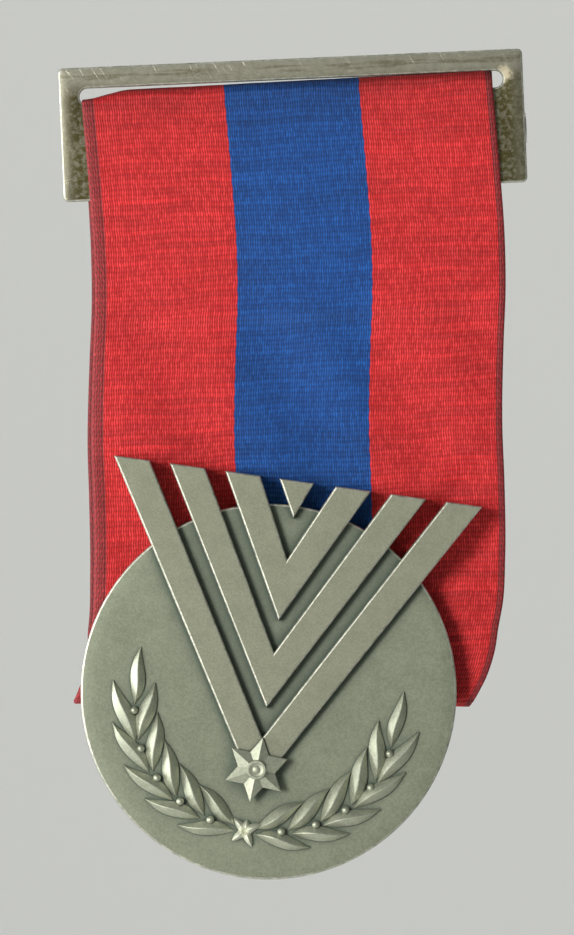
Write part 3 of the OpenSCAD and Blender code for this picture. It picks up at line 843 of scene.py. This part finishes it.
def roundRectangle(width, height, radius):
    # four quarter turns joined by straight sides
    turn = np.linspace(0, math.pi / 2, plate["cornerSteps"] + 1)
    corners = [(1, 1), (-1, 1), (-1, -1), (1, -1)]
    arcs = [np.stack([sx * (width / 2 - radius) + radius * np.cos(turn + k * math.pi / 2),
                      sz * (height / 2 - radius) + radius * np.sin(turn + k * math.pi / 2)], -1)
            for k, (sx, sz) in enumerate(corners)]
    share = (np.arange(1, plate["sideSteps"]) / plate["sideSteps"])[:, None]
    parts = []
    for k in range(4):
        start, end = arcs[k][-1], arcs[(k + 1) % 4][0]
        parts += [arcs[k], start + share * (end - start)]
    return np.concatenate(parts)


def platePiece(material):
    # one closed skin: the slot's wall, the front, the outer wall and the back, with rounded edges between
    width, height = plateHigh[0] - plateLow[0], plateHigh[2] - plateLow[2]
    front, back, b = plateLow[1], plateHigh[1], plate["bevel"]
    centreX, centreZ = (plateHigh[0] + plateLow[0]) / 2, (plateHigh[2] + plateLow[2]) / 2
    slotZ = plateHigh[2] - plate["bar"] - plate["slotHeight"] / 2
    quarter = np.linspace(0, math.pi / 2, 5)

    def slotLoop(grow):
        loop = roundRectangle(plate["slotWidth"] + 2 * grow, plate["slotHeight"] + 2 * grow,
                              plate["slotHeight"] / 2 - 0.01 + grow)
        return loop + [centreX, slotZ]

    def outerLoop(shrink):
        loop = roundRectangle(width - 2 * shrink, height - 2 * shrink, plate["corner"] - shrink)
        return loop + [centreX, centreZ]

    rows = []
    for loop, face, way, turns in ((slotLoop, front, 1, quarter), (outerLoop, front, 1, quarter[::-1]),
                                   (outerLoop, back, -1, quarter), (slotLoop, back, -1, quarter[::-1])):
        rows += [(loop(b * (1 - math.cos(q))), face + way * b * (1 - math.sin(q))) for q in turns]
    points = np.stack([np.stack([loop[:, 0], np.full(len(loop), y), loop[:, 1]], -1) for loop, y in rows])
    faces = quadGrid(*points.shape[:2], wrapRows=True, wrapCols=True).tolist()
    steps, cols = len(quarter), points.shape[1]
    edgeRows = markRows(faces, cols, 0, steps - 1) | markRows(faces, cols, steps, 2 * steps - 1)
    return addPiece("hanger_plate_rolled", points.reshape(-1, 3), faces, material, sharpAngle=20,
                    edgeLook=wornEdgeHighlight, edgeFaces=edgeRows)


plateMetal = plateFinish(inner=20.4, outer=22.3, barLow=plateHigh[2] - 1.45, barHigh=plateHigh[2] - 0.4,
                         spot=(19.9, plateHigh[2] - 2.3))
standFor(platePiece(plateMetal), "hanger", "plate_nickel", "hanger_plate")
for node, body, bevel in (("pin_hinge_bracket", "hanger", 0.08), ("pin_hinge_rivet", "hanger", 0.05),
                          ("catch_housing", "hanger", 0.1), ("brooch_pin", "pin", 0.05),
                          ("catch_lock", "lock", 0.05)):
    standFor(cleanCopy(node, steel, bevel), body, "pin_steel", node)
standFor(cleanCopy("back_lugs", discMetal, 0.06), "medal", "medal_field", "back_lugs")
standFor(cleanCopy("lug_rod", steel, 0.05), "medal", "pin_steel", "lug_rod")
print("hanger made")


# ---- studio ----

studio = dict(depth=0.55, flat=1.8, wall=2.7, top=1.4, floor=(0.86, 0.86, 0.84, 1), world=0.22,
              sky=(0.95, 1.0, 0.97, 1))


def bowlPiece():
    # a flat floor that curves up into a wall all round
    angle = np.linspace(0, 2 * math.pi, 96, endpoint=False)[None, :]
    bend = np.linspace(0, math.pi / 2, 14)
    reach = studio["wall"] - studio["flat"]
    radii = np.concatenate([[0.05, 0.8], studio["flat"] + reach * np.sin(bend), [studio["wall"]]])[:, None]
    heights = np.concatenate([[0, 0], reach * (1 - np.cos(bend)), [studio["top"]]])[:, None] - studio["depth"]
    points = np.stack(np.broadcast_arrays(radii * np.cos(angle), radii * np.sin(angle), heights), -1)
    rows, cols = points.shape[:2]
    faces = quadGrid(rows, cols, wrapCols=True).tolist() + [list(range(cols))]
    made, tree, shader = newMaterial("paleStudio", Roughness=0.9)
    shader.inputs["Base Color"].default_value = studio["floor"]
    return addPiece("studio_floor", points.reshape(-1, 3) / mm, faces, made)


def addLight(name, where, aim, size, power, colour):
    # a soft rectangular lamp that the camera does not see
    lamp = bpy.data.lights.new(name, "AREA")
    lamp.shape = "RECTANGLE"
    lamp.size, lamp.size_y = size
    lamp.energy = power
    lamp.color = colour
    holder = linkObject(name, lamp)
    holder.location = where
    holder.rotation_euler = (aim - holder.location).to_track_quat("-Z", "Y").to_euler()
    holder.visible_camera = False


lowCorner, highCorner = cadBox
middle = (lowCorner + highCorner) / 2
bowlPiece()
farWall = Vector((0, studio["wall"], -0.15))
for name, where, aim, size, power, colour in (
        ("key", (-0.42, -0.58, 0.03), middle, (0.22, 0.32), 4.8, (1.0, 0.98, 0.94)),
        ("rim", (-0.70, -0.05, 0.0), middle, (0.20, 0.60), 4.5, (1.0, 1.0, 1.0)),
        ("wallWash", (0, 0.8, 1.5), farWall, (1.3, 0.7), 18.5, (1.0, 1.0, 1.0))):
    addLight(name, where, aim, size, power, colour)
world = bpy.data.worlds.new("softRoom")
world.use_nodes = True
background = world.node_tree.nodes["Background"].inputs
background["Color"].default_value = studio["sky"]
background["Strength"].default_value = studio["world"]
bpy.context.scene.world = world
bpy.context.scene.view_settings.view_transform = "Standard"

view = dict(lens=300, sensor=36, near=0.005, where=(-0.00193, -0.732, -0.03088), roll=2.5)
cameraData = bpy.data.cameras.new("camera")
cameraData.lens = view["lens"]
cameraData.sensor_width = view["sensor"]
cameraData.clip_start = view["near"]
camera = linkObject("camera", cameraData)
camera.location = view["where"]
camera.rotation_euler = (math.pi / 2, math.radians(view["roll"]), 0)
bpy.context.scene.camera = camera
print("studio made")
